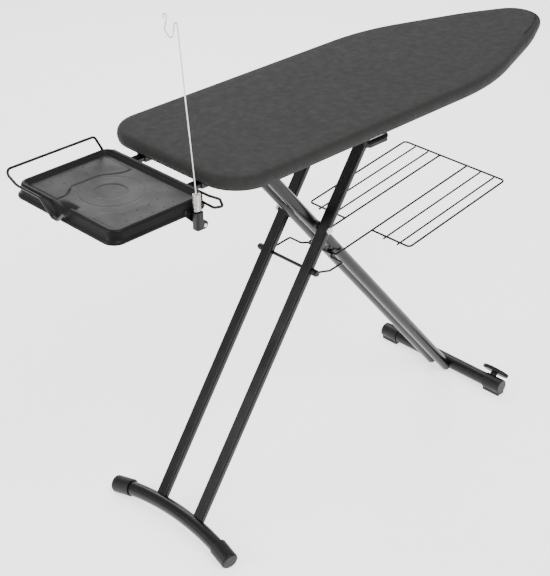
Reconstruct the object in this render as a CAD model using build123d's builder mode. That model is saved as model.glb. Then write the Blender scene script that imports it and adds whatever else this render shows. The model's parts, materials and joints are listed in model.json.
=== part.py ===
"""Ironing board on scissor legs, with an iron tray, a cable holder and a linen rack.

Millimetres. +Z is up and the floor is Z = 0. +X runs along the board from the tray to the nose,
and the board is symmetric about Y = 0 apart from the cable holder and the lever, which sit on -Y.
The origin is under the middle of the whole object.
"""
import math
import os

from build123d import *

os.makedirs("parts", exist_ok=True)

# ---------------------------------------------------------------- board
board_rear = -464.0
board_half_width = 206.0
shoulder_x = 341.0
knee_x = 618.0
knee_half_width = 106.0
nose_apex_x = 828.0
rear_corner_radius = 85.0
shoulder_radius = 600.0
knee_radius = 700.0
nose_radius = 68.0
nose_half_angle = math.atan(knee_half_width / (nose_apex_x - knee_x))
nose_tip = nose_apex_x - nose_radius * (1 / math.sin(nose_half_angle) - 1)
cover_top = 945.0
cover_bottom = 916.0
cover_thickness = 1.5
cover_edge_radius = 9.0
hem_width = 24.0
rim_inset = 2.2
rim_width = 12.0
rim_bottom = 917.8
deck_top = 935.0
deck_thickness = 2.0
deck_bottom = deck_top - deck_thickness
pad_top = cover_top - cover_thickness - 0.2

# ---------------------------------------------------------------- scissor legs
scissor_x = -58.2
scissor_z = 648.0
leg_a_slope = 56.31
leg_b_slope = 50.0
hinge_z = 897.0
hinge_x = scissor_x - (hinge_z - scissor_z) / math.tan(math.radians(leg_b_slope))
rod_x = scissor_x + (hinge_z - scissor_z) / math.tan(math.radians(leg_a_slope))
pin_radius = 5.0
running_gap = 0.05

leg_a_y = 62.7
leg_a_width = 30.0
leg_a_depth = 15.0
leg_b_y = 25.0
leg_b_radius = 14.0
tube_wall = 1.5
tube_overhang = 14.0

foot_radius = 17.5
foot_a_x = -487.0
foot_a_z = 21.0
foot_a_half_span = 186.0
foot_a_rise_x = 16.0
foot_a_rise_z = 16.0
foot_b_x = 484.0
foot_b_z = 24.0
foot_b_half_span = 197.0
cap_radius = 21.0
cap_length = 52.0

crossbar_radius = 4.0
crossbar_along = 99.8
crossbar_below = 3.0

# ---------------------------------------------------------------- linen rack
wire_radius = 2.5
rod_radius = 2.3
rack_tilt = 8.05
rack_bar_x = 3.0
rack_bar_z = 549.0
rack_inner = 124.8
rack_outer = 475.7
rack_half_width = 160.0
rack_arm_y = 43.35
rack_rod_ys = (84.0, 126.0)

# ---------------------------------------------------------------- iron tray
tray_inner = -486.5
tray_outer = -721.0
tray_half_width = 152.0
tray_top = 921.0
tray_bottom = 890.0
tray_floor_top = 912.0
tray_floor_thickness = 2.5
tray_wall = 3.0
bar_y = 86.0
bar_width = 22.0
bar_thickness = 8.0
bar_top = tray_floor_top - tray_floor_thickness
guard_radius = 2.75
guard_x = -746.1
guard_z = 954.0

# ---------------------------------------------------------------- cable holder
holder_x = -524.5
holder_y = -165.0
holder_width = 18.0
holder_bottom = 862.0
holder_top = 900.0
bolt_x = -511.0
bolt_z = 867.0
bolt_radius = 2.5
spring_height = 38.0
spring_wire = 0.8
spring_mean = 6.0
cord_rod_radius = 1.4
cord_rod_top = 1288.0
cord_rod_lean = 5.3

# ---------------------------------------------------------------- release lever
lever_y = -118.0
lever_z = 904.0
lever_bar_radius = 4.0
grip_y = -186.0
grip_z = 897.0


def direction(slope):
    """Unit vector in the XZ plane at an angle above +X."""
    return Vector(math.cos(math.radians(slope)), 0, math.sin(math.radians(slope)))


leg_a_up = direction(leg_a_slope)
leg_a_front = direction(leg_a_slope - 90)
leg_b_down = direction(-leg_b_slope)
leg_b_front = direction(90 - leg_b_slope)
scissor = Vector(scissor_x, 0, scissor_z)
hinge = Vector(hinge_x, 0, hinge_z)
top_rod_centre = Vector(rod_x, 0, hinge_z)
rack_out = direction(rack_tilt)
rack_up = direction(90 + rack_tilt)


def save(builder, name):
    """Label one finished sub-part and write its STEP file."""
    builder.part.label = name
    export_step(builder.part, "parts/" + name + ".step")


def board_outline(inset, height=0.0):
    """Plan shape of the board at a height, drawn in from the edge by inset."""
    points = (
        (board_rear, -board_half_width),
        (shoulder_x, -board_half_width),
        (knee_x, -knee_half_width),
        (nose_apex_x, 0),
        (knee_x, knee_half_width),
        (shoulder_x, board_half_width),
        (board_rear, board_half_width),
    )
    corners = (
        (board_rear, rear_corner_radius),
        (shoulder_x, shoulder_radius),
        (knee_x, knee_radius),
        (nose_apex_x, nose_radius),
    )
    with BuildSketch(Plane.XY.offset(height)) as outline:
        Polygon(*points, align=None)
        for corner_x, radius in corners:
            fillet([v for v in outline.vertices() if abs(v.X - corner_x) < 0.01], radius)
        if inset:
            offset(amount=-inset)
    return outline.sketch


def board_slab(inset, bottom, top, mode=Mode.ADD):
    """A slab with the board's plan shape between two heights, in the active part."""
    extrude(board_outline(inset, bottom), amount=top - bottom, mode=mode)


def rounded_slab(inset, bottom, top, radius):
    """A finished slab with the board's plan shape and a rounded top edge."""
    with BuildPart() as slab:
        board_slab(inset, bottom, top)
        fillet(slab.faces().sort_by(Axis.Z)[-1].edges(), radius)
    return slab.part


def coil_spring(foot, axis, pitch, height, mean_radius, wire):
    """A close coil of round wire around an axis, in the active part."""
    with BuildLine() as turns:
        Helix(pitch=pitch, height=height, radius=mean_radius, center=foot, direction=axis)
    with BuildSketch(Plane(origin=turns.line @ 0, z_dir=turns.line % 0)) as disc:
        Circle(wire)
    sweep(disc.sketch, path=turns.line, is_frenet=True)


def cross_cylinder(centre, radius, y_low, y_high, mode=Mode.ADD):
    """A cylinder along Y between two stations, in the active part."""
    start = Vector(centre.X, y_low, centre.Z)
    with BuildSketch(Plane(origin=start, x_dir=(1, 0, 0), z_dir=(0, 1, 0))) as disc:
        Circle(radius)
    extrude(disc.sketch, amount=y_high - y_low, mode=mode)


def bent_wire(points, radius, bend):
    """A round wire along straight runs joined by arcs, in the active part."""
    with BuildLine() as path:
        FilletPolyline(*points, radius=bend)
    with BuildSketch(Plane(origin=path.line @ 0, z_dir=path.line % 0)) as disc:
        Circle(radius)
    sweep(disc.sketch, path=path.line)


def straight_rod(start, end, radius, mode=Mode.ADD):
    """A round rod between two points, in the active part."""
    axis = Vector(*end) - Vector(*start)
    with BuildSketch(Plane(origin=start, z_dir=axis)) as disc:
        Circle(radius)
    extrude(disc.sketch, amount=axis.length, mode=mode)


def block(x_range, y_range, z_range, mode=Mode.ADD):
    """A rectangular block between limits, in the active part."""
    sizes = [high - low for low, high in (x_range, y_range, z_range)]
    middles = [(high + low) / 2 for low, high in (x_range, y_range, z_range)]
    with Locations(tuple(middles)):
        Box(*sizes, mode=mode)


def mirrored(y_sign, low, high):
    """A Y range on the far side (+1) or the near side (-1), in rising order."""
    return sorted((y_sign * low, y_sign * high))


sides = (("near", -1), ("far", 1))

# ================================================================ board top
inner_edge_radius = cover_edge_radius - cover_thickness
with BuildPart() as cover:
    add(rounded_slab(0, cover_bottom, cover_top, cover_edge_radius))
    add(
        rounded_slab(
            cover_thickness,
            cover_bottom + cover_thickness,
            cover_top - cover_thickness,
            inner_edge_radius,
        ),
        mode=Mode.SUBTRACT,
    )
    board_slab(hem_width, cover_bottom, cover_bottom + cover_thickness, mode=Mode.SUBTRACT)
save(cover, "cover")

with BuildPart() as pad:
    add(rounded_slab(rim_inset, deck_top, pad_top, inner_edge_radius))
save(pad, "pad")

hem_cord_inset = 19.0
with BuildPart() as hem_cord:
    board_slab(hem_cord_inset, cover_bottom + cover_thickness, rim_bottom + 2.2)
    board_slab(hem_cord_inset + 3, cover_bottom, deck_bottom, mode=Mode.SUBTRACT)
save(hem_cord, "hem_cord")

with BuildPart() as board_rim:
    board_slab(rim_inset, rim_bottom, deck_top)
    board_slab(rim_inset + rim_width, rim_bottom, deck_top, mode=Mode.SUBTRACT)
save(board_rim, "board_rim")

mesh_margin = 30.0
mesh_pitch_x = 52.0
mesh_pitch_y = 32.0
with BuildPart() as mesh_deck:
    board_slab(rim_inset + rim_width, deck_bottom, deck_top)
    with BuildSketch(Plane.XY.offset(deck_bottom)):
        with Locations(((board_rear + nose_tip) / 2, 0)):
            with GridLocations(mesh_pitch_x, mesh_pitch_y, 23, 12):
                SlotOverall(mesh_pitch_x - 10, mesh_pitch_y - 10)
        add(board_outline(mesh_margin, deck_bottom), mode=Mode.INTERSECT)
    extrude(amount=deck_thickness, mode=Mode.SUBTRACT)
save(mesh_deck, "mesh_deck")

# ================================================================ hinge under the board
bracket_ear_y = 44.0
bracket_gauge = 3.0
with BuildPart() as hinge_bracket:
    block((hinge_x - 24, hinge_x + 24), (-62, 62), (deck_bottom - bracket_gauge, deck_bottom))
    for _, sign in sides:
        ear_inner, ear_outer = mirrored(sign, bracket_ear_y, bracket_ear_y + bracket_gauge)
        with BuildSketch(Plane(origin=(hinge_x, ear_inner, 0), x_dir=(1, 0, 0), z_dir=(0, -1, 0))):
            with Locations((0, hinge_z)):
                Circle(13)
            with Locations((0, (hinge_z + deck_bottom - bracket_gauge) / 2)):
                Rectangle(26, deck_bottom - bracket_gauge - hinge_z)
        extrude(amount=-bracket_gauge)
    cross_cylinder(hinge, pin_radius, -70, 70, mode=Mode.SUBTRACT)
save(hinge_bracket, "hinge_bracket")

pin_end = bracket_ear_y + bracket_gauge
with BuildPart() as hinge_pin:
    cross_cylinder(hinge, pin_radius, -pin_end, pin_end)
    cross_cylinder(hinge, pin_radius + 3, -pin_end - 3, -pin_end)
    cross_cylinder(hinge, pin_radius + 3, pin_end, pin_end + 3)
save(hinge_pin, "hinge_pin")

washer_inner = leg_b_y + leg_b_radius + 0.4
with BuildPart() as hinge_washers:
    for _, sign in sides:
        washer_low, washer_high = mirrored(sign, washer_inner, bracket_ear_y)
        cross_cylinder(hinge, 9, washer_low, washer_high)
        cross_cylinder(hinge, pin_radius, washer_low, washer_high, mode=Mode.SUBTRACT)
save(hinge_washers, "hinge_washers")

# ================================================================ guide rails of the sliding top rod
rail_y = 87.0
rail_gauge = 2.0
rail_flange = 20.0
rod_travel = 250.0
rail_slot_height = 19.0
rail_start = rod_x - 32
rail_end = rod_x + rod_travel + 32
rail_bottom = hinge_z - 17
rail_slot_lift = 1.0
notch_pitch = 28.0
for side, sign in sides:
    web_inner, web_outer = mirrored(sign, rail_y, rail_y + rail_gauge)
    with BuildPart() as rail:
        block((rail_start, rail_end), (web_inner, web_outer), (rail_bottom, deck_bottom))
        block(
            (rail_start, rail_end),
            mirrored(sign, rail_y, rail_y + rail_flange),
            (deck_bottom - rail_gauge, deck_bottom),
        )
        slot_origin = (rod_x, web_inner, hinge_z + rail_slot_lift)
        slot_plane = Plane(origin=slot_origin, x_dir=(1, 0, 0), z_dir=(0, 1, 0))
        with BuildSketch(slot_plane):
            with Locations((rod_travel / 2, 0)):
                SlotOverall(rod_travel + 34, rail_slot_height)
            for notch in range(5):
                with Locations((notch * notch_pitch, -rail_slot_height / 2)):
                    Circle(6.3)
        extrude(amount=rail_gauge, mode=Mode.SUBTRACT)
    save(rail, "guide_rail_" + side)

brace_width = 30.0
for place, brace_x in (("rear", rail_start - brace_width / 2 - 1), ("front", rail_end + brace_width / 2 + 1)):
    with BuildPart() as brace:
        block(
            (brace_x - brace_width / 2, brace_x + brace_width / 2),
            (-150, 150),
            (deck_bottom - 10, deck_bottom),
        )
        block(
            (brace_x - brace_width / 2 + 2, brace_x + brace_width / 2 - 2),
            (-151, 151),
            (deck_bottom - 11, deck_bottom - 2),
            mode=Mode.SUBTRACT,
        )
    save(brace, place + "_brace")

# ================================================================ leg B, hinged to the board
leg_b_start = hinge - leg_b_down * (tube_overhang + 4)
foot_b = Vector(foot_b_x, 0, foot_b_z)
leg_b_length = (foot_b - leg_b_start).dot(leg_b_down)
rack_bar = Vector(rack_bar_x, 0, rack_bar_z)

for side, sign in sides:
    tube_start = leg_b_start + Vector(0, sign * leg_b_y, 0)
    tube_low, tube_high = mirrored(sign, leg_b_y - leg_b_radius - 1, leg_b_y + leg_b_radius + 1)
    with BuildPart() as leg_b_tube:
        with BuildSketch(Plane(origin=tube_start, x_dir=(0, 1, 0), z_dir=leg_b_down)):
            Circle(leg_b_radius)
            Circle(leg_b_radius - tube_wall, mode=Mode.SUBTRACT)
        extrude(amount=leg_b_length)
        cross_cylinder(foot_b, foot_radius, tube_low, tube_high, mode=Mode.SUBTRACT)
        cross_cylinder(hinge, pin_radius + running_gap, tube_low, tube_high, mode=Mode.SUBTRACT)
        cross_cylinder(scissor, pin_radius, tube_low, tube_high, mode=Mode.SUBTRACT)
    save(leg_b_tube, "leg_b_tube_" + side)

with BuildPart() as leg_b_plugs:
    for _, sign in sides:
        plug_start = leg_b_start + Vector(0, sign * leg_b_y, 0)
        straight_rod(plug_start - leg_b_down * 3, plug_start, leg_b_radius)
        straight_rod(plug_start, plug_start + leg_b_down * 8, leg_b_radius - tube_wall)
save(leg_b_plugs, "leg_b_plugs")

with BuildPart() as foot_b_tube:
    cross_cylinder(foot_b, foot_radius, -foot_b_half_span, foot_b_half_span)
    cross_cylinder(foot_b, foot_radius - tube_wall, -foot_b_half_span, foot_b_half_span, mode=Mode.SUBTRACT)
save(foot_b_tube, "foot_b_tube")

cap_b_radius = 19.5
cap_b_sole_width = 24.0
for side, sign in sides:
    cap_low, cap_high = mirrored(sign, foot_b_half_span + 7 - cap_length, foot_b_half_span + 7)
    with BuildPart() as foot_b_cap:
        with BuildSketch(Plane(origin=(foot_b_x, cap_low, foot_b_z), x_dir=(1, 0, 0), z_dir=(0, 1, 0))):
            Circle(cap_b_radius)
            with Locations((0, foot_b_z / 2)):
                Rectangle(cap_b_sole_width, foot_b_z)
        extrude(amount=cap_high - cap_low)
        fillet(foot_b_cap.faces().sort_by(Axis.Y)[-1 if sign > 0 else 0].edges(), 3)
        inner_low, inner_high = mirrored(sign, foot_b_half_span - cap_length, foot_b_half_span)
        cross_cylinder(foot_b, foot_radius, inner_low, inner_high, mode=Mode.SUBTRACT)
    save(foot_b_cap, "foot_b_cap_" + side)

pad_y = 163.0
pad_stem = 8.0
for side, sign in sides:
    stem_base = Vector(foot_b_x, sign * pad_y, foot_b_z)
    head_base = stem_base + leg_b_front * (cap_b_radius + pad_stem)
    with BuildPart() as rest_pad:
        straight_rod(stem_base + leg_b_front * (cap_b_radius - 3), head_base + leg_b_front * 3, 9)
        cross_cylinder(foot_b, cap_b_radius, *mirrored(sign, pad_y - 12, pad_y + 12), mode=Mode.SUBTRACT)
        with BuildSketch(Plane(origin=head_base, x_dir=(0, 1, 0), z_dir=leg_b_front)):
            Ellipse(40, 20)
        extrude(amount=10)
        fillet(rest_pad.edges().filter_by(GeomType.ELLIPSE), 3.5)
    save(rest_pad, "rest_pad_" + side)

# ---------------------------------------------------------------- scissor axle
axle_reach = leg_a_y + leg_a_width / 2 + 0.4
with BuildPart() as axle:
    cross_cylinder(scissor, pin_radius, -axle_reach, axle_reach + 7)
    cross_cylinder(scissor, pin_radius + 3.5, -axle_reach - 3.5, -axle_reach)
    fillet(axle.edges().filter_by(GeomType.CIRCLE).sort_by(Axis.Y)[0], 2)
save(axle, "axle")

with BuildPart() as axle_nut:
    nut_start = Vector(scissor_x, axle_reach, scissor_z)
    with BuildSketch(Plane(origin=nut_start, x_dir=(1, 0, 0), z_dir=(0, 1, 0))):
        RegularPolygon(9, 6)
        Circle(pin_radius, mode=Mode.SUBTRACT)
    extrude(amount=7)
save(axle_nut, "axle_nut")

spacer_outer = leg_a_y - leg_a_width / 2 - 0.4
with BuildPart() as axle_spacers:
    for _, sign in sides:
        spacer_low, spacer_high = mirrored(sign, leg_b_y + 8, spacer_outer)
        cross_cylinder(scissor, 11, spacer_low, spacer_high)
        leg_axis = scissor + Vector(0, sign * leg_b_y, 0)
        straight_rod(leg_axis - leg_b_down * 20, leg_axis + leg_b_down * 20, leg_b_radius, mode=Mode.SUBTRACT)
        cross_cylinder(scissor, pin_radius, spacer_low, spacer_high, mode=Mode.SUBTRACT)
save(axle_spacers, "axle_spacers")

# ---------------------------------------------------------------- saddles that carry the rack
saddle_radius = 6.0
with BuildPart() as rack_saddles:
    for _, sign in sides:
        saddle_low, saddle_high = mirrored(sign, leg_b_y - 8, leg_b_y + 8)
        cross_cylinder(rack_bar, saddle_radius, saddle_low, saddle_high)
        saddle_root = rack_bar + leg_b_front * 6
        cross_cylinder(saddle_root, saddle_radius, saddle_low, saddle_high)
        leg_axis = scissor + Vector(0, sign * leg_b_y, 0) + leg_b_down * 115
        straight_rod(leg_axis - leg_b_down * 30, leg_axis + leg_b_down * 30, leg_b_radius, mode=Mode.SUBTRACT)
        cross_cylinder(rack_bar, wire_radius + running_gap, saddle_low, saddle_high, mode=Mode.SUBTRACT)
save(rack_saddles, "rack_saddles")

# ================================================================ leg A, pivoted on the axle
leg_a_top = top_rod_centre + leg_a_up * tube_overhang
bow_mid = Vector(foot_a_x + foot_a_rise_x, 0, foot_a_z + foot_a_rise_z)
leg_a_length = (leg_a_top - bow_mid).dot(leg_a_up)
crossbar_centre = scissor - leg_a_up * crossbar_along + leg_a_front * crossbar_below


def bow_arc():
    """Centre line of the bowed foot tube, in the active part."""
    with BuildLine() as path:
        ThreePointArc(
            (foot_a_x, -foot_a_half_span, foot_a_z),
            bow_mid,
            (foot_a_x, foot_a_half_span, foot_a_z),
        )
    return path.line


def bow_tube(radius, mode=Mode.ADD):
    """The bowed foot's round section swept along its arc, in the active part."""
    path = bow_arc()
    with BuildSketch(Plane(origin=path @ 0, z_dir=path % 0)) as disc:
        Circle(radius)
    sweep(disc.sketch, path=path, mode=mode)


for side, sign in sides:
    tube_top = leg_a_top + Vector(0, sign * leg_a_y, 0)
    tube_low, tube_high = mirrored(sign, leg_a_y - 20, leg_a_y + 20)
    with BuildPart() as leg_a_tube:
        with BuildSketch(Plane(origin=tube_top, x_dir=(0, 1, 0), z_dir=leg_a_up * -1)):
            RectangleRounded(leg_a_width, leg_a_depth, 4)
            RectangleRounded(leg_a_width - 2 * tube_wall, leg_a_depth - 2 * tube_wall, 2.5, mode=Mode.SUBTRACT)
        extrude(amount=leg_a_length)
        bow_tube(foot_radius, mode=Mode.SUBTRACT)
        cross_cylinder(scissor, pin_radius + running_gap, tube_low, tube_high, mode=Mode.SUBTRACT)
        cross_cylinder(top_rod_centre, crossbar_radius, tube_low, tube_high, mode=Mode.SUBTRACT)
        cross_cylinder(crossbar_centre, crossbar_radius, tube_low, tube_high, mode=Mode.SUBTRACT)
    save(leg_a_tube, "leg_a_tube_" + side)

with BuildPart() as leg_a_plugs:
    for _, sign in sides:
        plug_base = leg_a_top + Vector(0, sign * leg_a_y, 0)
        with BuildSketch(Plane(origin=plug_base, x_dir=(0, 1, 0), z_dir=leg_a_up)):
            RectangleRounded(leg_a_width, leg_a_depth, 4)
        extrude(amount=2.5)
save(leg_a_plugs, "leg_a_plugs")

with BuildPart() as foot_a_tube:
    bow_tube(foot_radius)
    bow_tube(foot_radius - tube_wall, mode=Mode.SUBTRACT)
save(foot_a_tube, "foot_a_tube")

for side, sign in sides:
    with BuildPart() as foot_a_cap:
        bow_line = bow_arc()
        bow_end = bow_line @ (0 if sign < 0 else 1)
        outward = (bow_line % (0 if sign < 0 else 1)) * sign
        cap_inner = bow_end - outward * (cap_length - 14)
        straight_rod(cap_inner, bow_end + outward * 14, cap_radius)
        fillet(foot_a_cap.faces().sort_by(Axis.Y)[-1 if sign > 0 else 0].edges(), 5)
        bow_tube(foot_radius, mode=Mode.SUBTRACT)
        block(
            (foot_a_x - 60, foot_a_x + 60),
            mirrored(sign, foot_a_half_span - 60, foot_a_half_span + 60),
            (-20, 0),
            mode=Mode.SUBTRACT,
        )
    save(foot_a_cap, "foot_a_cap_" + side)

crossbar_reach = 92.0
with BuildPart() as crossbar:
    cross_cylinder(crossbar_centre, crossbar_radius, -crossbar_reach, crossbar_reach)
save(crossbar, "crossbar")

top_rod_reach = 98.0
with BuildPart() as top_rod:
    cross_cylinder(top_rod_centre, crossbar_radius, -top_rod_reach, top_rod_reach)
save(top_rod, "top_rod")

roller_radius = 6.0
with BuildPart() as rod_rollers:
    for _, sign in sides:
        roller_low, roller_high = mirrored(sign, rail_y - 4, rail_y + rail_gauge + 3)
        cross_cylinder(top_rod_centre, roller_radius, roller_low, roller_high)
        cross_cylinder(top_rod_centre, crossbar_radius, roller_low, roller_high, mode=Mode.SUBTRACT)
save(rod_rollers, "rod_rollers")

with BuildPart() as rod_clips:
    for _, sign in sides:
        clip_low, clip_high = mirrored(sign, rail_y + rail_gauge + 3, rail_y + rail_gauge + 5)
        cross_cylinder(top_rod_centre, 8, clip_low, clip_high)
        cross_cylinder(top_rod_centre, crossbar_radius, clip_low, clip_high, mode=Mode.SUBTRACT)
save(rod_clips, "rod_clips")

# ================================================================ linen rack


def on_rack(along, across, lift=0.0):
    """A point of the rack's plane, from its cross bar outwards."""
    return rack_bar + rack_out * along + rack_up * lift + Vector(0, across, 0)


with BuildPart() as rack_arms:
    bent_wire(
        (
            on_rack(rack_outer, -rack_arm_y),
            on_rack(0, -rack_arm_y),
            on_rack(0, rack_arm_y),
            on_rack(rack_outer, rack_arm_y),
        ),
        wire_radius,
        3,
    )
save(rack_arms, "rack_arms")

frame_start = rack_arm_y + wire_radius
with BuildPart() as rack_frame:
    bent_wire(
        (
            on_rack(rack_inner, -frame_start),
            on_rack(rack_inner, -rack_half_width),
            on_rack(rack_outer + wire_radius, -rack_half_width),
            on_rack(rack_outer + wire_radius, rack_half_width),
            on_rack(rack_inner, rack_half_width),
            on_rack(rack_inner, frame_start),
        ),
        wire_radius,
        9,
    )
save(rack_frame, "rack_frame")

rod_lift = -(wire_radius + rod_radius)
with BuildPart() as rack_rods:
    for _, sign in sides:
        for rod_y in rack_rod_ys:
            straight_rod(
                on_rack(rack_inner - 5, sign * rod_y, rod_lift),
                on_rack(rack_outer + wire_radius, sign * rod_y, rod_lift),
                rod_radius,
            )
save(rack_rods, "rack_rods")

# ================================================================ bail on the ends of the crossbar
bail_side_y = 85.0
bail_jog_y = 48.0
bail_dip = Vector(-62, 0, 549)
bail_corner = Vector(-19, 0, 553)
bail_middle = Vector(-7, 0, 553)
bail_hub_radius = 8.0
hub_exit = (bail_dip - Vector(crossbar_centre.X, 0, crossbar_centre.Z)).normalized()
bail_start = crossbar_centre + hub_exit * (bail_hub_radius - 1)


def at_y(point, y):
    """The same point moved to another station across the board."""
    return Vector(point.X, y, point.Z)


with BuildPart() as bail_wire:
    bent_wire(
        (
            at_y(bail_start, -bail_side_y),
            at_y(bail_dip, -bail_side_y),
            at_y(bail_corner, -bail_side_y),
            at_y(bail_corner, -bail_jog_y),
            at_y(bail_middle, -bail_jog_y + 9),
            at_y(bail_middle, bail_jog_y - 9),
            at_y(bail_corner, bail_jog_y),
            at_y(bail_corner, bail_side_y),
            at_y(bail_dip, bail_side_y),
            at_y(bail_start, bail_side_y),
        ),
        wire_radius,
        5,
    )
    for _, sign in sides:
        hub_low, hub_high = mirrored(sign, bail_side_y - 5, bail_side_y + 5)
        cross_cylinder(crossbar_centre, bail_hub_radius, hub_low, hub_high, mode=Mode.SUBTRACT)
save(bail_wire, "bail_wire")

with BuildPart() as bail_hubs:
    for _, sign in sides:
        hub_low, hub_high = mirrored(sign, bail_side_y - 5, bail_side_y + 5)
        cross_cylinder(crossbar_centre, bail_hub_radius, hub_low, hub_high)
        cross_cylinder(crossbar_centre, crossbar_radius + running_gap, hub_low, hub_high, mode=Mode.SUBTRACT)
save(bail_hubs, "bail_hubs")

with BuildPart() as crossbar_caps:
    for _, sign in sides:
        cap_low, cap_high = mirrored(sign, bail_side_y + 5.4, crossbar_reach + 2)
        cross_cylinder(crossbar_centre, 6.5, cap_low, cap_high)
        cross_cylinder(crossbar_centre, crossbar_radius, *mirrored(sign, 80, crossbar_reach), mode=Mode.SUBTRACT)
save(crossbar_caps, "crossbar_caps")

# ================================================================ release lever
lever_shaft_front = 117.0
lever_shaft_rear = 16.0
grip_front = 3.0
grip_rear = -62.0
with BuildPart() as lever_bar:
    bent_wire(
        (
            (lever_shaft_front, lever_y, lever_z),
            (lever_shaft_rear, lever_y, lever_z),
            (grip_front, grip_y, grip_z),
            (grip_rear, grip_y, grip_z),
        ),
        lever_bar_radius,
        12,
    )
save(lever_bar, "lever_bar")

grip_length = 58.0
with BuildPart() as lever_grip:
    grip_start = (grip_rear - 5, grip_y, grip_z)
    straight_rod(grip_start, (grip_rear - 5 + grip_length, grip_y, grip_z), 6.6)
    with Locations((grip_rear - 5 + grip_length / 2, grip_y - 5, grip_z)):
        Box(grip_length, 12, 8)
    fillet(lever_grip.edges().filter_by(Axis.Z), 3.5)
    straight_rod((grip_rear, grip_y, grip_z), (grip_front + 8, grip_y, grip_z), lever_bar_radius, mode=Mode.SUBTRACT)
save(lever_grip, "lever_grip")

bearing_xs = (36.0, 92.0)
with BuildPart() as lever_bearings:
    for bearing_x in bearing_xs:
        block((bearing_x - 6, bearing_x + 6), (lever_y - 9, lever_y + 9), (lever_z - 9, deck_bottom))
    straight_rod(
        (lever_shaft_rear, lever_y, lever_z),
        (lever_shaft_front, lever_y, lever_z),
        lever_bar_radius + running_gap,
        mode=Mode.SUBTRACT,
    )
save(lever_bearings, "lever_bearings")

with BuildPart() as lock_pawl:
    block((lever_shaft_front - 7, lever_shaft_front - 2), (lever_y - 8, lever_y + 16), (lever_z - 8, lever_z + 8))
    fillet(lock_pawl.edges().filter_by(Axis.X), 3)
    straight_rod(
        (lever_shaft_front - 10, lever_y, lever_z),
        (lever_shaft_front, lever_y, lever_z),
        lever_bar_radius,
        mode=Mode.SUBTRACT,
    )
save(lock_pawl, "lock_pawl")

coil_wire = 0.8
coil_mean = 6.0
with BuildPart() as lever_spring:
    coil_foot = (bearing_xs[0] + 7, lever_y, lever_z)
    coil_spring(coil_foot, (1, 0, 0), 2.4, 14.4, coil_mean, coil_wire)
save(lever_spring, "lever_spring")

# ================================================================ iron tray
tray_middle_x = (tray_inner + tray_outer) / 2
tray_length = tray_inner - tray_outer
tray_rim = 21.0
tray_side_rim = 15.0
dip_high_y = 50.0
dip_low_y = -17.0
dip_floor = 897.0

guard_y = 150.0
guard_bend = 12.0
rail_wire_x = guard_x + 10
with BuildPart() as guard_wire:
    bent_wire(
        (
            (tray_inner - 17, guard_y, tray_top - 3),
            (tray_inner - 36, guard_y, guard_z),
            (guard_x, guard_y, guard_z),
            (rail_wire_x, guard_y - 24, tray_top + 6),
            (rail_wire_x, dip_high_y, tray_top + 6),
            (rail_wire_x, dip_high_y - 34, dip_floor),
            (rail_wire_x, dip_low_y + 16, dip_floor),
            (rail_wire_x, dip_low_y - 6, tray_top - 2),
        ),
        guard_radius,
        guard_bend,
    )
save(guard_wire, "guard_wire")

edge_wire_x = tray_inner + guard_radius + 0.5
with BuildPart() as edge_wire:
    bent_wire(
        (
            (edge_wire_x, 140, tray_top - 7),
            (edge_wire_x, -152, tray_top - 7),
            (edge_wire_x + 12, -170, tray_top - 12),
            (edge_wire_x + 3, -188, tray_top - 18),
            (edge_wire_x - 13, -180, tray_top - 18),
            (edge_wire_x - 13, -145, tray_top - 17),
        ),
        guard_radius,
        5,
    )
save(edge_wire, "edge_wire")

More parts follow.
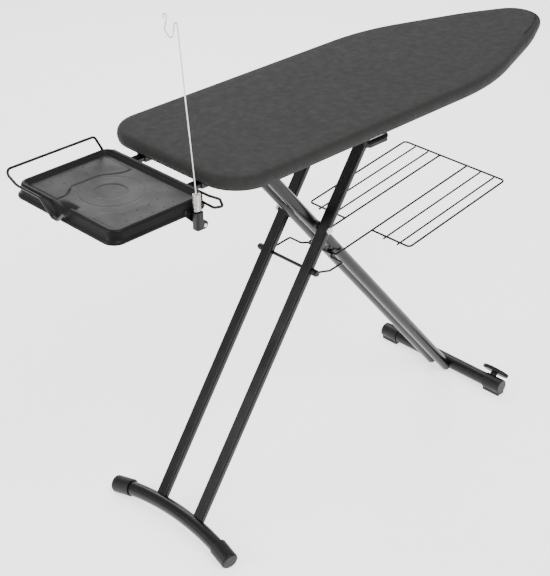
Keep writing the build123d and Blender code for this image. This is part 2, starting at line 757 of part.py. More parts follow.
with BuildPart() as tray_shell:
    with BuildSketch(Plane.XY.offset(tray_bottom)):
        with Locations((tray_middle_x, 0)):
            RectangleRounded(tray_length, 2 * tray_half_width, 22)
    extrude(amount=tray_top - tray_bottom)
    fillet(tray_shell.faces().sort_by(Axis.Z)[-1].edges(), 4)
    chamfer(tray_shell.faces().sort_by(Axis.Z)[0].edges(), 4)
    with BuildSketch(Plane.XY.offset(tray_top)):
        with Locations((tray_middle_x, 0)):
            RectangleRounded(tray_length - 2 * tray_rim + 14, 2 * (tray_half_width - tray_side_rim) + 12, 16)
    with BuildSketch(Plane.XY.offset(tray_floor_top)):
        with Locations((tray_middle_x, 0)):
            RectangleRounded(tray_length - 2 * tray_rim, 2 * (tray_half_width - tray_side_rim), 12)
    loft(mode=Mode.SUBTRACT)
    with BuildSketch(Plane.XY.offset(tray_bottom)):
        with Locations((tray_middle_x, 0)):
            RectangleRounded(tray_length - 2 * tray_wall - 2, 2 * (tray_half_width - tray_wall - 1), 18)
    extrude(amount=bar_top - tray_bottom, mode=Mode.SUBTRACT)
    dip_plane = Plane(origin=(tray_outer - 5, 0, 0), x_dir=(0, 1, 0), z_dir=(1, 0, 0))
    with BuildSketch(dip_plane):
        Polygon(
            (dip_low_y, tray_top + 1),
            (dip_low_y + 18, tray_floor_top - 6),
            (dip_high_y - 32, tray_floor_top - 6),
            (dip_high_y, tray_top + 1),
            align=None,
        )
    extrude(amount=tray_rim - 2, mode=Mode.SUBTRACT)
    for _, sign in sides:
        block(
            (tray_inner - 12, tray_inner + 5),
            mirrored(sign, bar_y - bar_width / 2 - 0.3, bar_y + bar_width / 2 + 0.3),
            (tray_bottom - 1, bar_top),
            mode=Mode.SUBTRACT,
        )
    vent_centres = []
    for column in (-2, -1, 0, 1, 2):
        vent_centres.append((column * 29.0, 126.0 - 2.2 * column * column))
    for column in (-1.5, -0.5, 0.5, 1.5):
        vent_centres.append((column * 29.0, 97.0 - 3.0 * column * column))
    with BuildSketch(Plane.XY.offset(bar_top)):
        for vent_x, vent_y in vent_centres:
            with Locations((tray_middle_x + vent_x, vent_y), (tray_middle_x + vent_x, -vent_y)):
                Circle(2)
    extrude(amount=tray_floor_thickness, mode=Mode.SUBTRACT)
    with BuildSketch(Plane.XY.offset(tray_floor_top)):
        with Locations((tray_middle_x, 0)):
            Circle(28)
    extrude(amount=-1, mode=Mode.SUBTRACT)
    add(guard_wire.part, mode=Mode.SUBTRACT)
    add(edge_wire.part, mode=Mode.SUBTRACT)
save(tray_shell, "tray_shell")

bar_start = tray_outer + 85.0
bar_end = -302.0
for side, sign in sides:
    with BuildPart() as tray_bar:
        block(
            (bar_start, bar_end),
            mirrored(sign, bar_y - bar_width / 2, bar_y + bar_width / 2),
            (bar_top - bar_thickness, bar_top),
        )
        fillet(tray_bar.edges().filter_by(Axis.Z), 3)
    save(tray_bar, "tray_bar_" + side)

screw_xs = (tray_outer + 105.0, tray_inner - 40.0)
with BuildPart() as tray_screws:
    for _, sign in sides:
        for screw_x in screw_xs:
            screw_top = (screw_x, sign * bar_y, bar_top - bar_thickness)
            straight_rod(screw_top, (screw_x, sign * bar_y, bar_top - bar_thickness - 2.6), 4.5)
save(tray_screws, "tray_screws")

sleeve_gap = 0.4
sleeve_wall = 2.0
sleeve_start = board_rear + 10
sleeve_end = -295.0
sleeve_inner_y = bar_y - bar_width / 2 - sleeve_gap
sleeve_outer_y = bar_y + bar_width / 2 + sleeve_gap
for side, sign in sides:
    with BuildPart() as bar_sleeve:
        block(
            (sleeve_start, sleeve_end),
            mirrored(sign, sleeve_inner_y - sleeve_wall, sleeve_outer_y + sleeve_wall),
            (bar_top - bar_thickness - sleeve_gap - sleeve_wall, bar_top + sleeve_gap + sleeve_wall),
        )
        for post_x in (sleeve_start + 45, sleeve_end - 20):
            block(
                (post_x - 10, post_x + 10),
                mirrored(sign, bar_y - 9, bar_y + 9),
                (bar_top + sleeve_gap, deck_bottom),
            )
        block(
            (sleeve_start - 1, sleeve_end + 1),
            mirrored(sign, sleeve_inner_y, sleeve_outer_y),
            (bar_top - bar_thickness - sleeve_gap, bar_top + sleeve_gap),
            mode=Mode.SUBTRACT,
        )
    save(bar_sleeve, "bar_sleeve_" + side)

# ================================================================ cable holder on the tray's near side
bolt_centre = Vector(bolt_x, 0, bolt_z)
plate_outer = -tray_half_width - 3.0
lug_inner = plate_outer - 0.5
lug_outer = holder_y - 4
with BuildPart() as holder_plate:
    with BuildSketch(Plane(origin=(0, plate_outer, 0), x_dir=(1, 0, 0), z_dir=(0, -1, 0))):
        with Locations((bolt_x, bolt_z)):
            Circle(9)
        Polygon(
            (bolt_x - 8.5, bolt_z - 3),
            (bolt_x + 8.5, bolt_z - 3),
            (bolt_x + 1, 905),
            (bolt_x - 38, 905),
            (bolt_x - 38, 893),
            align=None,
        )
    extrude(amount=-3)
    cross_cylinder(bolt_centre, bolt_radius, -160, -140, mode=Mode.SUBTRACT)
save(holder_plate, "holder_plate")

with BuildPart() as holder_body:
    with Locations((holder_x, holder_y, (holder_bottom + holder_top) / 2)):
        Box(holder_width, holder_width, holder_top - holder_bottom)
    fillet(holder_body.edges().filter_by(Axis.Z), 5)
    fillet(holder_body.faces().sort_by(Axis.Z)[-1].edges(), 1.5)
    cross_cylinder(bolt_centre, 9, lug_outer, lug_inner)
    cross_cylinder(bolt_centre, bolt_radius + running_gap, lug_outer, lug_inner, mode=Mode.SUBTRACT)
save(holder_body, "holder_body")

with BuildPart() as holder_bolt:
    cross_cylinder(bolt_centre, bolt_radius, lug_outer - 0.4, -tray_half_width + 6)
    cross_cylinder(bolt_centre, 4.2, lug_outer - 3.4, lug_outer - 0.4)
    fillet(holder_bolt.edges().filter_by(GeomType.CIRCLE).sort_by(Axis.Y)[0], 1.5)
save(holder_bolt, "holder_bolt")

with BuildPart() as holder_nut:
    nut_start = Vector(bolt_x, -tray_half_width, bolt_z)
    with BuildSketch(Plane(origin=nut_start, x_dir=(1, 0, 0), z_dir=(0, 1, 0))):
        RegularPolygon(4.6, 6)
        Circle(bolt_radius, mode=Mode.SUBTRACT)
    extrude(amount=4)
save(holder_nut, "holder_nut")

lean = direction(90 + cord_rod_lean)
rod_foot = Vector(holder_x, holder_y, holder_top)
with BuildPart() as holder_spring:
    coil_spring(rod_foot + lean * 2, lean, 2.2, spring_height - 2, spring_mean, spring_wire)
save(holder_spring, "holder_spring")

hook_offsets = (
    (0, 2),
    (-6.5, 2),
    (-11, -21),
    (-17, -22),
    (-30, -3),
    (-24, 18),
    (-26, 26),
    (-31.5, 26),
    (-31, 18),
)
rod_tip = rod_foot + lean * ((cord_rod_top - holder_top) / lean.Z)
with BuildPart() as cord_rod:
    hook_points = [rod_foot + lean * 1.5]
    for hook_x, hook_z in hook_offsets:
        hook_points.append(rod_tip + Vector(hook_x, 0, hook_z))
    bent_wire(hook_points, cord_rod_radius, 2)
save(cord_rod, "cord_rod")
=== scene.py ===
"""An ironing board on scissor legs: its fabrics, wires, finishes, light and camera."""
import json
import math
import bmesh
import bpy
from mathutils import Euler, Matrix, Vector, noise


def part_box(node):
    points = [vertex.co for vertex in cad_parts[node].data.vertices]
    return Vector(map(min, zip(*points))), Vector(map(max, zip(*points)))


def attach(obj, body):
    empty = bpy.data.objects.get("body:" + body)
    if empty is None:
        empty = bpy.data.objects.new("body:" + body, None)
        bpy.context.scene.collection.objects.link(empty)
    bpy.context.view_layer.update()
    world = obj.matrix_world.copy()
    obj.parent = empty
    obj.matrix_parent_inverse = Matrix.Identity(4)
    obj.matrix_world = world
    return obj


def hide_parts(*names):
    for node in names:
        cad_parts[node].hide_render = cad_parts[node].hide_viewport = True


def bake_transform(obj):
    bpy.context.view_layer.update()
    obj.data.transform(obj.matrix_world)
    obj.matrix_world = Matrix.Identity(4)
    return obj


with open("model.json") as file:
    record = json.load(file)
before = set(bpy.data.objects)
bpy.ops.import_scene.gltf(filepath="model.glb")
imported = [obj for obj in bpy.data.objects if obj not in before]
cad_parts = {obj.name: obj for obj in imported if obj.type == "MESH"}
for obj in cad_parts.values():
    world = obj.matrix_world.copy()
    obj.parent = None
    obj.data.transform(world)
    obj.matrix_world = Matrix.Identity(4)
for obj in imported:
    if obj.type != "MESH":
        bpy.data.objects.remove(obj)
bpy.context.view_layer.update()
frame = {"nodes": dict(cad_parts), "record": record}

MM = 0.001


# ================================================================ camera, light and floor
def make_camera():
    """The camera, at the height and the angle from which the board is seen."""
    camera = bpy.data.objects.new("camera", bpy.data.cameras.new("camera"))
    camera.data.lens = 91.4
    camera.data.sensor_width = 36.0
    camera.data.clip_end = 60.0
    camera.location = (-2.176, -2.046, 2.202)
    camera.rotation_euler = Euler((math.radians(59.476), 0.0, math.radians(-44.683)))
    bpy.context.scene.collection.objects.link(camera)
    bpy.context.scene.camera = camera


def area_light(name, place, target, size, watts):
    """A square soft light that faces a target."""
    light = bpy.data.objects.new(name, bpy.data.lights.new(name, "AREA"))
    light.data.shape = "SQUARE"
    light.data.size = size
    light.data.energy = watts
    light.location = place
    aim = Vector(target) - Vector(place)
    light.rotation_euler = aim.to_track_quat("-Z", "Y").to_euler()
    bpy.context.scene.collection.objects.link(light)


def make_studio():
    """A pale floor, a pale sky and three soft lights."""
    world = bpy.data.worlds.new("studio")
    world.use_nodes = True
    world.node_tree.nodes["Background"].inputs["Color"].default_value = (0.97, 0.98, 1.0, 1)
    world.node_tree.nodes["Background"].inputs["Strength"].default_value = 0.95
    bpy.context.scene.world = world
    area_light("key", (-0.6, -1.9, 3.2), (0.1, 0.0, 0.7), 1.6, 80)
    area_light("back", (1.6, 2.4, 2.6), (0.0, 0.0, 0.8), 2.0, 60)
    area_light("side", (-3.0, 0.9, 1.6), (0.0, 0.0, 0.6), 1.2, 45)
    half = 12.0
    mesh = bpy.data.meshes.new("floor")
    mesh.from_pydata(
        [(-half, -half, 0), (half, -half, 0), (half, half, 0), (-half, half, 0)], [], [(0, 1, 2, 3)]
    )
    floor = bpy.data.objects.new("floor", mesh)
    bpy.context.scene.collection.objects.link(floor)
    paint = bpy.data.materials.new("floor_paint")
    paint.use_nodes = True
    shader = paint.node_tree.nodes["Principled BSDF"]
    shader.inputs["Base Color"].default_value = (0.95, 0.95, 0.95, 1)
    shader.inputs["Emission Color"].default_value = (1.0, 1.0, 1.0, 1)
    shader.inputs["Emission Strength"].default_value = 1.5
    shader.inputs["Roughness"].default_value = 0.9
    mesh.materials.append(paint)


# ================================================================ materials
class Finish:
    """One procedural material, with short calls for the nodes that it needs."""

    def __init__(self, name, roughness, metallic=0.0, **sockets):
        self.material = bpy.data.materials.new(name)
        self.material.use_nodes = True
        self.nodes = self.material.node_tree.nodes
        self.links = self.material.node_tree.links
        self.shader = self.nodes["Principled BSDF"]
        self.shader.inputs["Roughness"].default_value = roughness
        self.shader.inputs["Metallic"].default_value = metallic
        for socket, value in sockets.items():
            self.shader.inputs[socket.replace("_", " ")].default_value = value
        self.place = self.nodes.new("ShaderNodeTexCoord").outputs["Object"]

    def stretched(self, x, y, z):
        """Coordinates scaled along each axis."""
        mapping = self.nodes.new("ShaderNodeMapping")
        mapping.inputs["Scale"].default_value = (x, y, z)
        self.links.new(self.place, mapping.inputs["Vector"])
        return mapping.outputs["Vector"]

    def noise(self, scale, detail=3.0, place=None):
        """Cloudy noise; a larger scale makes smaller clouds."""
        node = self.nodes.new("ShaderNodeTexNoise")
        node.inputs["Scale"].default_value = scale
        node.inputs["Detail"].default_value = detail
        self.links.new(place or self.place, node.inputs["Vector"])
        return node.outputs["Fac"]

    def bands(self, direction, scale, distortion=0.0, place=None):
        """Parallel bands along an axis; scale is in bands per 0.314 metres."""
        node = self.nodes.new("ShaderNodeTexWave")
        node.bands_direction = direction
        node.inputs["Scale"].default_value = scale
        node.inputs["Distortion"].default_value = distortion
        self.links.new(place or self.place, node.inputs["Vector"])
        return node.outputs["Fac"]

    def maths(self, operation, a, b):
        """A sum, product or the like of two sockets or numbers."""
        node = self.nodes.new("ShaderNodeMath")
        node.operation = operation
        for socket, value in zip(node.inputs, (a, b)):
            if isinstance(value, (int, float)):
                socket.default_value = value
            else:
                self.links.new(value, socket)
        return node.outputs["Value"]

    def between(self, factor, low, high, start=0.3, stop=0.7):
        """A value that runs from low to high as factor runs from start to stop."""
        node = self.nodes.new("ShaderNodeMapRange")
        node.inputs["From Min"].default_value = start
        node.inputs["From Max"].default_value = stop
        node.inputs["To Min"].default_value = low
        node.inputs["To Max"].default_value = high
        self.links.new(factor, node.inputs["Value"])
        return node.outputs["Result"]

    def colours(self, factor, dark, light, start=0.3, stop=0.7):
        """A colour ramp driven by a factor."""
        node = self.nodes.new("ShaderNodeValToRGB")
        node.color_ramp.elements[0].position = start
        node.color_ramp.elements[1].position = stop
        node.color_ramp.elements[0].color = (*dark, 1)
        node.color_ramp.elements[1].color = (*light, 1)
        self.links.new(factor, node.inputs["Fac"])
        return node.outputs["Color"]

    def mixed(self, factor, first, second):
        """Two colours mixed by a factor."""
        node = self.nodes.new("ShaderNodeMix")
        node.data_type = "RGBA"
        self.links.new(factor, node.inputs["Factor"])
        self.links.new(first, node.inputs["A"])
        self.links.new(second, node.inputs["B"])
        return node.outputs["Result"]

    def paint(self, colour, roughness=None, height=None, depth=0.0):
        """Joins colour, roughness and relief to the shader."""
        self.links.new(colour, self.shader.inputs["Base Color"])
        if roughness is not None:
            self.links.new(roughness, self.shader.inputs["Roughness"])
        if height is not None:
            bump = self.nodes.new("ShaderNodeBump")
            bump.inputs["Strength"].default_value = 1.0
            bump.inputs["Distance"].default_value = depth
            self.links.new(height, bump.inputs["Height"])
            self.links.new(bump.outputs["Normal"], self.shader.inputs["Normal"])
        return self.material


def powder_coat(name, dark, light, roughness):
    """Satin powder coat: faint orange peel, dust and a few scuffs."""
    f = Finish(name, roughness, Specular_IOR_Level=0.26)
    scuffs = f.between(f.noise(38, 6), 0.0, 1.0, 0.62, 0.74)
    tone = f.colours(f.noise(9, 4), dark, light)
    dust = f.colours(f.noise(210, 2), light, [2.5 * v for v in light])
    gloss = f.between(f.noise(14, 5), roughness - 0.05, roughness + 0.09)
    peel = f.noise(900, 1)
    return f.paint(f.mixed(f.maths("MULTIPLY", scuffs, 0.35), tone, dust), gloss, peel, 0.00006)


def moulded_plastic(name, dark, light, roughness, grain=0.00012):
    """Moulded plastic with a fine spark-eroded grain."""
    f = Finish(name, roughness, Specular_IOR_Level=0.25)
    tone = f.colours(f.noise(12, 4), dark, light)
    gloss = f.between(f.noise(26, 5), roughness - 0.06, roughness + 0.08)
    return f.paint(tone, gloss, f.noise(1300, 2), grain)


def tray_plastic():
    """The tray's satin plastic, with painted light and shade: a lighter tone on what faces up, near black on
    its sides.
    """
    f = Finish("tray_plastic", 0.4, Specular_IOR_Level=0.1)
    up = f.nodes.new("ShaderNodeSeparateXYZ")
    f.links.new(f.nodes.new("ShaderNodeNewGeometry").outputs["Normal"], up.inputs["Vector"])
    # painted light and shade: how far the surface faces up picks the lit tone over the shaded one
    painted_light_mask = f.between(up.outputs["Z"], 0.0, 1.0, 0.35, 0.8)
    worn = f.between(f.noise(7, 6, f.stretched(1.0, 2.4, 1.0)), 0.0, 1.0, 0.45, 0.72)
    # painted light: the lighter tone given to what faces up, varied by noise
    painted_lit_tone = f.mixed(worn, f.colours(f.noise(30, 4), (0.0088, 0.0086, 0.0081), (0.0108, 0.0105, 0.0099)),
                   f.colours(f.noise(90, 3), (0.0112, 0.0109, 0.0103), (0.0135, 0.0131, 0.0124)))
    # painted shade: the near black tone given to the sides
    side = f.colours(f.noise(30, 3), (0.0035, 0.0035, 0.0035), (0.0060, 0.0060, 0.0060))
    gloss = f.between(f.noise(18, 5), 0.33, 0.46)
    return f.paint(f.mixed(painted_light_mask, side, painted_lit_tone), gloss, f.noise(1500, 2), 0.00008)


def plated_metal(name, dark, light, roughness, grain):
    """Plated steel, with fine drawing lines and cloudy variation."""
    f = Finish(name, roughness, metallic=1.0)
    tone = f.colours(f.noise(45, 5), dark, light)
    gloss = f.between(f.noise(120, 4), roughness - 0.06, roughness + 0.1)
    return f.paint(tone, gloss, f.noise(700, 2, f.stretched(1, 1, grain)), 0.00004)


def cover_fabric():
    """Coated cotton: a plain weave, cloudy where the coating varies, and soft unevenness."""
    f = Finish("cover_fabric", 0.8, Specular_IOR_Level=0.15, Sheen_Weight=0.03, Sheen_Roughness=0.5)
    threads = f.maths("MULTIPLY", f.bands("X", 190, 0.6), f.bands("Y", 190, 0.6))
    threads = f.maths("ADD", threads, f.maths("MULTIPLY", f.bands("Z", 190, 0.6), 0.5))
    clouds = f.colours(f.noise(4.5, 4), (0.0200, 0.0197, 0.0189), (0.0236, 0.0232, 0.0223))
    flecks = f.colours(f.noise(520, 2), (0.0170, 0.0167, 0.0160), (0.0282, 0.0277, 0.0266), 0.35, 0.65)
    tone = f.mixed(f.between(f.noise(900, 1), 0.12, 0.5), clouds, flecks)
    soft = f.maths("ADD", f.maths("MULTIPLY", f.noise(34, 3), 5.0), threads)
    return f.paint(tone, f.between(f.noise(60, 3), 0.72, 0.88), soft, 0.00022)


def hem_elastic():
    """Ribbed elastic in the cover's hem."""
    f = Finish("hem_elastic", 0.85, Sheen_Weight=0.1)
    ribs = f.maths("ADD", f.bands("X", 260, 1.0), f.bands("Y", 260, 1.0))
    tone = f.colours(f.noise(300, 3), (0.016, 0.016, 0.0155), (0.028, 0.0275, 0.027))
    return f.paint(tone, None, ribs, 0.0003)


def pad_felt():
    """Pale needle felt of the pad."""
    f = Finish("pad_felt", 0.95, Sheen_Weight=0.2)
    tone = f.colours(f.noise(380, 5), (0.42, 0.40, 0.37), (0.60, 0.58, 0.54))
    return f.paint(tone, None, f.noise(600, 6), 0.0008)


def nylon():
    """Natural nylon of the rollers, washers and bearings."""
    f = Finish("nylon", 0.42, Subsurface_Weight=0.1)
    tone = f.colours(f.noise(60, 4), (0.36, 0.35, 0.32), (0.45, 0.44, 0.41))
    return f.paint(tone, f.between(f.noise(90, 3), 0.36, 0.5), f.noise(900, 2), 0.00005)


def make_materials():
    """Every material, by the record's slot name."""
    return {
        "cover_fabric": cover_fabric(),
        "hem_elastic": hem_elastic(),
        "pad_foam": pad_felt(),
        "black_steel": powder_coat(
            "black_steel", (0.0022, 0.0022, 0.0023), (0.0040, 0.0040, 0.0041), 0.24
        ),
        "black_wire": powder_coat(
            "black_wire", (0.0018, 0.0018, 0.0018), (0.0034, 0.0034, 0.0034), 0.3
        ),
        "deck_steel": powder_coat(
            "deck_steel", (0.008, 0.008, 0.0085), (0.014, 0.014, 0.0145), 0.4
        ),
        "zinc_steel": plated_metal("zinc_steel", (0.40, 0.40, 0.39), (0.58, 0.58, 0.56), 0.34, 6.0),
        "bright_steel": plated_metal("bright_steel", (0.52, 0.50, 0.47), (0.72, 0.70, 0.66), 0.22, 8.0),
        "nylon": nylon(),
        "black_plastic": moulded_plastic(
            "black_plastic", (0.0028, 0.0028, 0.0028), (0.0050, 0.0050, 0.0050), 0.42
        ),
        "tray_plastic": tray_plastic(),
    }


def dress(materials):
    """Gives every CAD node the material of its slot."""
    for row in frame["record"]["subparts"]:
        for slot in frame["nodes"][row["node"]].material_slots:
            slot.material = materials[row["material_slot"]]


# ================================================================ shared geometry
def rounded_polygon(corners, spacing):
    """Points along a closed convex polygon whose corners have radii, evenly spaced, anticlockwise."""
    rough = []
    count = len(corners)
    for index, (x, y, radius) in enumerate(corners):
        corner = Vector((x, y))
        before = (Vector(corners[index - 1][:2]) - corner).normalized()
        after = (Vector(corners[(index + 1) % count][:2]) - corner).normalized()
        half = before.angle(after) / 2
        reach = radius / math.tan(half)
        centre = corner + (before + after).normalized() * radius / math.sin(half)
        first = corner + before * reach - centre
        turn = math.pi - 2 * half
        steps = max(8, int(radius * turn / 0.002))
        for step in range(steps + 1):
            angle = turn * step / steps
            cos, sin = math.cos(angle), math.sin(angle)
            turned = Vector((first.x * cos - first.y * sin, first.x * sin + first.y * cos))
            rough.append(centre + turned)
    return evenly(rough, spacing)


def evenly(points, spacing):
    """A closed line's points again, the same distance apart."""
    lengths = [0.0]
    ring = points + points[:1]
    for a, b in zip(ring, ring[1:]):
        lengths.append(lengths[-1] + (b - a).length)
    count = round(lengths[-1] / spacing)
    spaced, segment = [], 0
    for index in range(count):
        along = lengths[-1] * index / count
        while lengths[segment + 1] < along:
            segment += 1
        part = (along - lengths[segment]) / (lengths[segment + 1] - lengths[segment])
        spaced.append(ring[segment].lerp(ring[segment + 1], part))
    return spaced


def outward(points):
    """The outward normal at each point of a closed anticlockwise line."""
    count = len(points)
    normals = []
    for index in range(count):
        along = points[(index + 1) % count] - points[index - 1]
        normals.append(Vector((along.y, -along.x)).normalized())
    return normals


def mesh_piece(name, vertices, faces, material, body, smooth=True):
    """A mesh object that rides on a body, or on none when no body is given."""
    mesh = bpy.data.meshes.new(name)
    mesh.from_pydata(vertices, [], faces)
    mesh.validate()
    work = bmesh.new()
    work.from_mesh(mesh)
    bmesh.ops.remove_doubles(work, verts=work.verts, dist=0.00002)
    bmesh.ops.recalc_face_normals(work, faces=work.faces)
    work.to_mesh(mesh)
    work.free()
    for face in mesh.polygons:
        face.use_smooth = smooth
    mesh.materials.append(material)
    piece = bpy.data.objects.new(name, mesh)
    bpy.context.scene.collection.objects.link(piece)
    if body:
        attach(piece, body)
    return piece


def ring_faces(rings, count, closed=False):
    """Quads between rings of the same number of points; closed also joins the last ring to the first."""
    faces = []
    pairs = list(range(rings - 1)) + ([rings - 1] if closed else [])
    for ring in pairs:
        after = (ring + 1) % rings
        for index in range(count):
            nxt = (index + 1) % count
            here, there = ring * count, after * count
            faces.append((here + index, here + nxt, there + nxt, there + index))
    return faces


# ================================================================ board outline
cover_low, cover_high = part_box("cover")
board_half = cover_high.y
board_rear = cover_low.x
cover_top = cover_high.z
cover_bottom = cover_low.z
SHOULDER_X, KNEE_X, APEX_X = 0.341, 0.618, 0.828
KNEE_HALF = 0.106
near_corners = [
    (board_rear, -board_half, 0.085),
    (SHOULDER_X, -board_half, 0.6),
    (KNEE_X, -KNEE_HALF, 0.7),
]
far_corners = [(x, -y, radius) for x, y, radius in reversed(near_corners)]
OUTLINE_STEP = 0.0036
outline = rounded_polygon(near_corners + [(APEX_X, 0.0, 0.068)] + far_corners, OUTLINE_STEP)
outline_normals = outward(outline)


def spine(point):
    """The nearest place on the board's middle line, kept away from both ends."""
    return Vector((min(max(point.x, board_rear + 0.17), cover_high.x - 0.09), 0.0))


# ================================================================ cover, hem, pad and deck
HEM_WIDTH = 0.024
GATHER_LENGTH = 0.021


def gather(along, low):
    """How far the gathered cloth stands out at a place along the edge; low is 0 at the top, 1 at the hem."""
    phase = 2.1 * noise.noise(Vector((along * 6.0, 1.7, 0.0)))
    height = 0.55 + 0.45 * noise.noise(Vector((along * 19.0, 4.2, 0.0)))
    wave = math.sin(2 * math.pi * along / GATHER_LENGTH + 5.0 * phase)
    fine = math.sin(2 * math.pi * along / (0.53 * GATHER_LENGTH) + 3.0 * phase)
    return height * (wave + 0.35 * fine) * low


def make_cover(material):
    """The cover: a flat padded top, a round edge, and a skirt drawn in under the board by its elastic."""
    # inward distance and height above the cover's bottom in mm, and how gathered the cloth is there
    profile = [
        (16.0, 28.8, 0.0), (11.0, 28.3, 0.0), (7.5, 27.2, 0.0), (4.6, 25.4, 0.0), (2.4, 22.9, 0.0),
        (0.9, 19.6, 0.04), (0.2, 16.0, 0.10), (0.0, 12.4, 0.2), (0.3, 8.9, 0.34), (1.2, 5.6, 0.5),
        (2.9, 3.0, 0.66), (5.6, 1.3, 0.8), (9.2, 0.6, 0.9), (13.4, 0.5, 1.0), (17.6, 0.7, 1.0),
        (21.4, 1.1, 1.0), (24.0, 1.7, 1.0),
    ]
    count = len(outline)
    vertices = []
    shares = (0.56, 0.44, 0.34, 0.26, 0.2, 0.15)
    for share in shares:
        for point in outline:
            flat = point.lerp(spine(point), share)
            rise = 0.7 * MM * noise.noise(Vector((flat.x * 9.0, flat.y * 9.0, 2.0)))
            vertices.append((flat.x, flat.y, cover_bottom + 28.9 * MM + rise * (0.56 - share)))
    for inset, height, low in profile:
        for index, (point, normal) in enumerate(zip(outline, outline_normals)):
            fold = gather(index * OUTLINE_STEP, low)
            swell = noise.noise(Vector((point.x * 11.0, point.y * 11.0, 0.3)))
            side = min(1.0, inset / HEM_WIDTH + 0.5)
            flat = point - normal * (inset * MM - 0.5 * MM * swell * low - 1.7 * MM * fold * (1.2 - side))
            vertices.append((flat.x, flat.y, cover_bottom + height * MM + 2.4 * MM * fold * side * low))
    faces = ring_faces(len(shares) + len(profile), count)
    faces.append(tuple(range(count)))
    cover = mesh_piece("cover_cloth", vertices, faces, material, "board")
    thick = cover.modifiers.new("cloth", "SOLIDIFY")
    thick.thickness = 0.9 * MM
    thick.offset = -1.0
    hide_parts("cover")
    return cover


def make_hem(material):
    """The elastic in the cover's hem, a soft cord that follows the gathers."""
    sides = 8
    radius = 1.7 * MM
    rings = []
    for side in range(sides):
        angle = 2 * math.pi * side / sides
        for index, (point, normal) in enumerate(zip(outline, outline_normals)):
            fold = gather(index * OUTLINE_STEP, 1.0)
            thickness = radius * (1.0 + 0.18 * fold)
            flat = point - normal * (HEM_WIDTH + 0.2 * MM + thickness * math.cos(angle))
            height = cover_bottom + 2.2 * MM + 2.4 * MM * fold + thickness * math.sin(angle)
            rings.append((flat.x, flat.y, height))
    hem = mesh_piece("hem_elastic", rings, ring_faces(sides, len(outline), closed=True), material, "board")
    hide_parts("hem_cord")
    return hem


def make_pad(material):
    """The felt pad under the cover: crowned, with a soft rounded edge."""
    low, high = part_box("pad")
    thickness = high.z - low.z
    profile = [(26.0, 0.0), (9.0, 0.0), (6.2, 0.05), (4.9, 0.28), (4.9, 0.6), (6.4, 0.86), (10.0, 0.985)]
    coarse = outline[::4]
    normals = outline_normals[::4]
    vertices = []
    for inset, share in profile:
        for point, normal in zip(coarse, normals):
            lumps = 0.3 * MM * noise.noise(Vector((point.x * 30.0, point.y * 30.0, share)))
            flat = point - normal * (inset * MM + lumps)
            vertices.append((flat.x, flat.y, low.z + share * thickness))
    for share in (0.2, 0.45):
        for point in coarse:
            flat = point.lerp(spine(point), share)
            vertices.append((flat.x, flat.y, high.z - 0.1 * MM))
    count = len(coarse)
    faces = ring_faces(len(profile) + 2, count)
    faces.append(tuple(range(count)))
    faces.append(tuple(range(len(vertices) - count, len(vertices))))
    pad = mesh_piece("pad_felt", vertices, faces, material, "board")
    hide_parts("pad")
    return pad


def make_deck(material):
    """The expanded steel deck: slit and stretched sheet, so every strand zigzags between its neighbours."""
    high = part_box("mesh_deck")[1]
    pitch, row, half = 0.0125, 0.0105, 0.0009
    inside = 0.0145
    vertices, faces = [], []

    def within(x, y):
        """Whether a place is inside the rim."""
        if x < board_rear + inside or x > cover_high.x - inside:
            return False
        best = min(range(0, len(outline), 6), key=lambda i: (outline[i] - Vector((x, y))).length_squared)
        return (Vector((x, y)) - outline[best]).dot(outline_normals[best]) < -inside

    columns = int((cover_high.x - board_rear) / pitch)
    rows = int(board_half / row)
    bottom, top = high.z - 1.5 * MM, high.z - 0.2 * MM
    for line in range(-rows, rows + 1):
        last = None
        for column in range(columns + 1):
            x = board_rear + column * pitch
            swing = 0.5 if (column + line) % 2 else -0.5
            y = (line + swing) * row
            if not within(x, y):
                last = None
                continue
            start = len(vertices)
            for dy, z in ((-half, bottom), (half, bottom), (half, top), (-half, top)):
                vertices.append((x, y + dy, z))
            if last is None:
                faces.append((start, start + 1, start + 2, start + 3))
            else:
                for side in range(4):
                    nxt = (side + 1) % 4
                    faces.append((last + side, last + nxt, start + nxt, start + side))
            last = start
    deck = mesh_piece("deck_mesh", vertices, faces, material, "board", smooth=False)
    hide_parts("mesh_deck")
    return deck


# ================================================================ iron tray
tray_low, tray_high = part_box("tray_shell")
tray_middle = (tray_low + tray_high) / 2
TRAY_CORNER = 0.024
FLOOR_DROP = 9.0 * MM
DIP_BOTTOM = 0.0215
SKIRT = ((-2.5, 1.2), (1.5, 1.0), (3.4, 3.0), (3.2, 6.4), (1.4, 9.2), (0.4, 12.0))
OUTER_BULGE = 1.1
OUTER_REACH = 0.03
# the rim, from its outer edge to the floor: distance inward and height above the top in mm
RIM = (
    (0.0, -6.5), (1.2, -2.6), (3.0, -0.7), (5.5, 0.0), (8.0, -0.6), (9.4, -2.6), (11.0, -4.4),
    (14.0, -4.9), (15.4, -6.6), (17.5, -8.6), (20.0, -9.0),
)


def ease(value):
    """A smooth step from 0 to 1."""
    value = min(max(value, 0.0), 1.0)
    return value * value * (3 - 2 * value)


def dip(y):
    """How far the outer wall is cut down at y: a long slope on the far side, a short one on the near side."""
    return ease((0.050 - y) / 0.045) if y > -0.002 else ease((y + 0.018) / 0.013)


def plateau_edge(x):
    """Where the raised far part of the floor ends: an S-shaped line across the tray."""
    return 0.046 + 0.024 * ease((tray_high.x - 0.040 - x) / 0.060) * ease((x - tray_low.x - 0.038) / 0.044)


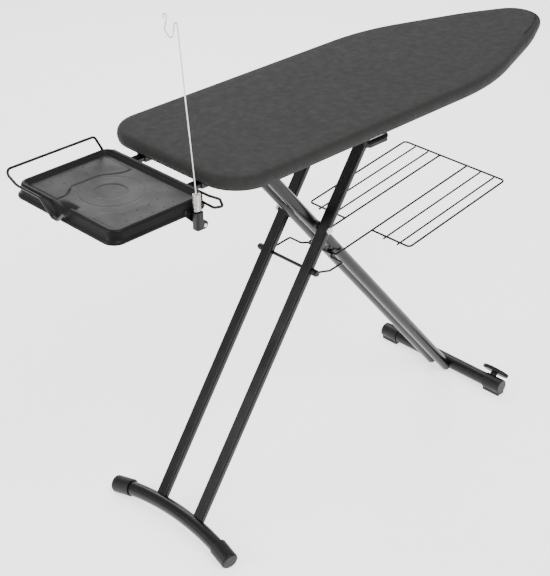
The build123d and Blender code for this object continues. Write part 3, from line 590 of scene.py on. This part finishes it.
def tray_height(x, y, rim):
    """Height of the tray's upper surface; rim is the height of the rim's profile there."""
    level = rim
    radius = math.hypot(x - tray_middle.x, y)
    inside = x > tray_low.x + 0.021 and x < tray_high.x - 0.026 and abs(y) < 0.134
    if rim <= -FLOOR_DROP + 1e-6:
        level -= 0.9 * MM * ease((0.036 - radius) / 0.005)
        level -= 0.5 * MM * ease(1 - abs(radius - 0.066) / 0.0025)
    if inside:
        level += 0.9 * MM * ease((y - plateau_edge(x)) / 0.0022)
        level -= 0.5 * MM * ease(1 - abs(y - plateau_edge(x)) / 0.0028)
        level += 0.45 * MM * ease((-y - plateau_edge(x) - 0.012) / 0.0030)
    reach = ease((0.036 - (x - tray_low.x)) / 0.034)
    sunk = -FLOOR_DROP - (DIP_BOTTOM - FLOOR_DROP) * reach
    share = dip(y) * ease((0.040 - (x - tray_low.x)) / 0.012)
    return tray_high.z + level + (min(sunk, level) - level) * share


def make_tray(material):
    """The moulded tray: beaded rim, a ledge inside it, a notch in the outer wall and a shaped floor."""
    corners = (
        (tray_low.x, tray_low.y, TRAY_CORNER),
        (tray_high.x, tray_low.y, TRAY_CORNER),
        (tray_high.x, tray_high.y, TRAY_CORNER),
        (tray_low.x, tray_high.y, TRAY_CORNER),
    )
    edge = rounded_polygon(corners, 0.0019)
    normals = outward(edge)
    count = len(edge)
    vertices = []
    # the skirt, from its turned-in lower lip up to the rim: outward distance and height in mm
    for out, height in SKIRT:
        for point, normal in zip(edge, normals):
            outer = 1.0 + OUTER_BULGE * ease((tray_low.x + OUTER_REACH - point.x) / OUTER_REACH)
            flat = point + normal * out * MM * outer
            top = tray_height(point.x, point.y, RIM[0][1] * MM)
            z = min(tray_low.z + height * MM, top - 0.4 * MM * (14 - height) / 14)
            vertices.append((flat.x, flat.y, z))
    for inset, rim in RIM:
        for point, normal in zip(edge, normals):
            flat = point - normal * inset * MM
            vertices.append((flat.x, flat.y, tray_height(flat.x, flat.y, rim * MM)))
    inner = [point - normal * 20.0 * MM for point, normal in zip(edge, normals)]
    floor_rings = 56
    centre = Vector((tray_middle.x, 0.0))
    for ring in range(1, floor_rings + 1):
        share = 0.97 * ring / floor_rings
        for point in inner:
            flat = point.lerp(centre, share)
            vertices.append((flat.x, flat.y, tray_height(flat.x, flat.y, -FLOOR_DROP)))
    faces = ring_faces(len(SKIRT) + len(RIM) + floor_rings, count)
    faces.append(tuple(range(len(vertices) - count, len(vertices))))
    tray = mesh_piece("tray_moulding", vertices, faces, material, "tray")
    wall = tray.modifiers.new("wall", "SOLIDIFY")
    wall.thickness = 1.8 * MM
    wall.offset = -1.0
    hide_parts("tray_shell")
    return tray


def make_vent_shade_discs(material):
    """Rows of small round rings at both ends of the tray, each low with a lower middle, in dark plastic as
    painted shade where the tray's vent holes are.
    """
    vertices, faces = [], []
    pitch, sides = 0.029, 14
    rows = [(c * pitch, 0.126 - 0.0022 * c * c) for c in (-2, -1, 0, 1, 2)]
    rows += [(c * pitch, 0.097 - 0.0030 * c * c) for c in (-1.5, -0.5, 0.5, 1.5)]
    for dx, far in rows:
        for y in (far, -far):
            x = tray_middle.x + dx
            z = tray_height(x, y, -FLOOR_DROP)
            start = len(vertices)
            for radius, lift in ((2.5, -0.3), (2.3, 0.30), (1.9, 0.34), (1.5, 0.12)):
                for side in range(sides):
                    angle = 2 * math.pi * side / sides
                    spot = (x + radius * MM * math.cos(angle), y + radius * MM * math.sin(angle))
                    vertices.append((*spot, z + lift * MM))
            faces += [tuple(v + start for v in face) for face in ring_faces(4, sides)]
            faces.append(tuple(start + 3 * sides + side for side in range(sides)))
            faces.append(tuple(start + side for side in range(sides)))
    # painted shade: dark discs in place of the shade inside the vent holes
    vent_shade_discs = mesh_piece("tray_vent_shade_discs", vertices, faces, material, "tray")
    return vent_shade_discs


# ================================================================ flex holder's spring
def make_spring(material):
    """The close coil that the rod stands in, left on no body."""
    low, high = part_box("holder_spring")
    wire = 0.8 * MM
    middle = (low + high) / 2
    radius = (high.x - low.x) / 2 - wire
    turns, steps, sides = 15, 20, 8
    height = high.z - low.z - 2 * wire
    count = turns * steps
    vertices = []
    for step in range(count + 1):
        angle = 2 * math.pi * step / steps
        across = Vector((math.cos(angle), math.sin(angle), 0.0))
        centre = Vector((middle.x, middle.y, low.z + wire + height * step / count)) + radius * across
        for side in range(sides):
            turn = 2 * math.pi * side / sides
            ring = across * math.cos(turn) + Vector((0.0, 0.0, 1.0)) * math.sin(turn)
            vertices.append(tuple(centre + wire * ring))
    faces = ring_faces(count + 1, sides)
    faces.append(tuple(range(sides)))
    faces.append(tuple(range(count * sides, (count + 1) * sides)))
    spring = mesh_piece("holder_coil", vertices, faces, material, None)
    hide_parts("holder_spring")
    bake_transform(spring)
    return spring


# ================================================================ the scene
make_camera()
make_studio()
materials = make_materials()
dress(materials)
cover = make_cover(materials["cover_fabric"])
hem = make_hem(materials["hem_elastic"])
pad = make_pad(materials["pad_foam"])
deck = make_deck(materials["deck_steel"])
make_tray(materials["tray_plastic"])
make_vent_shade_discs(materials["black_plastic"])
make_spring(materials["bright_steel"])
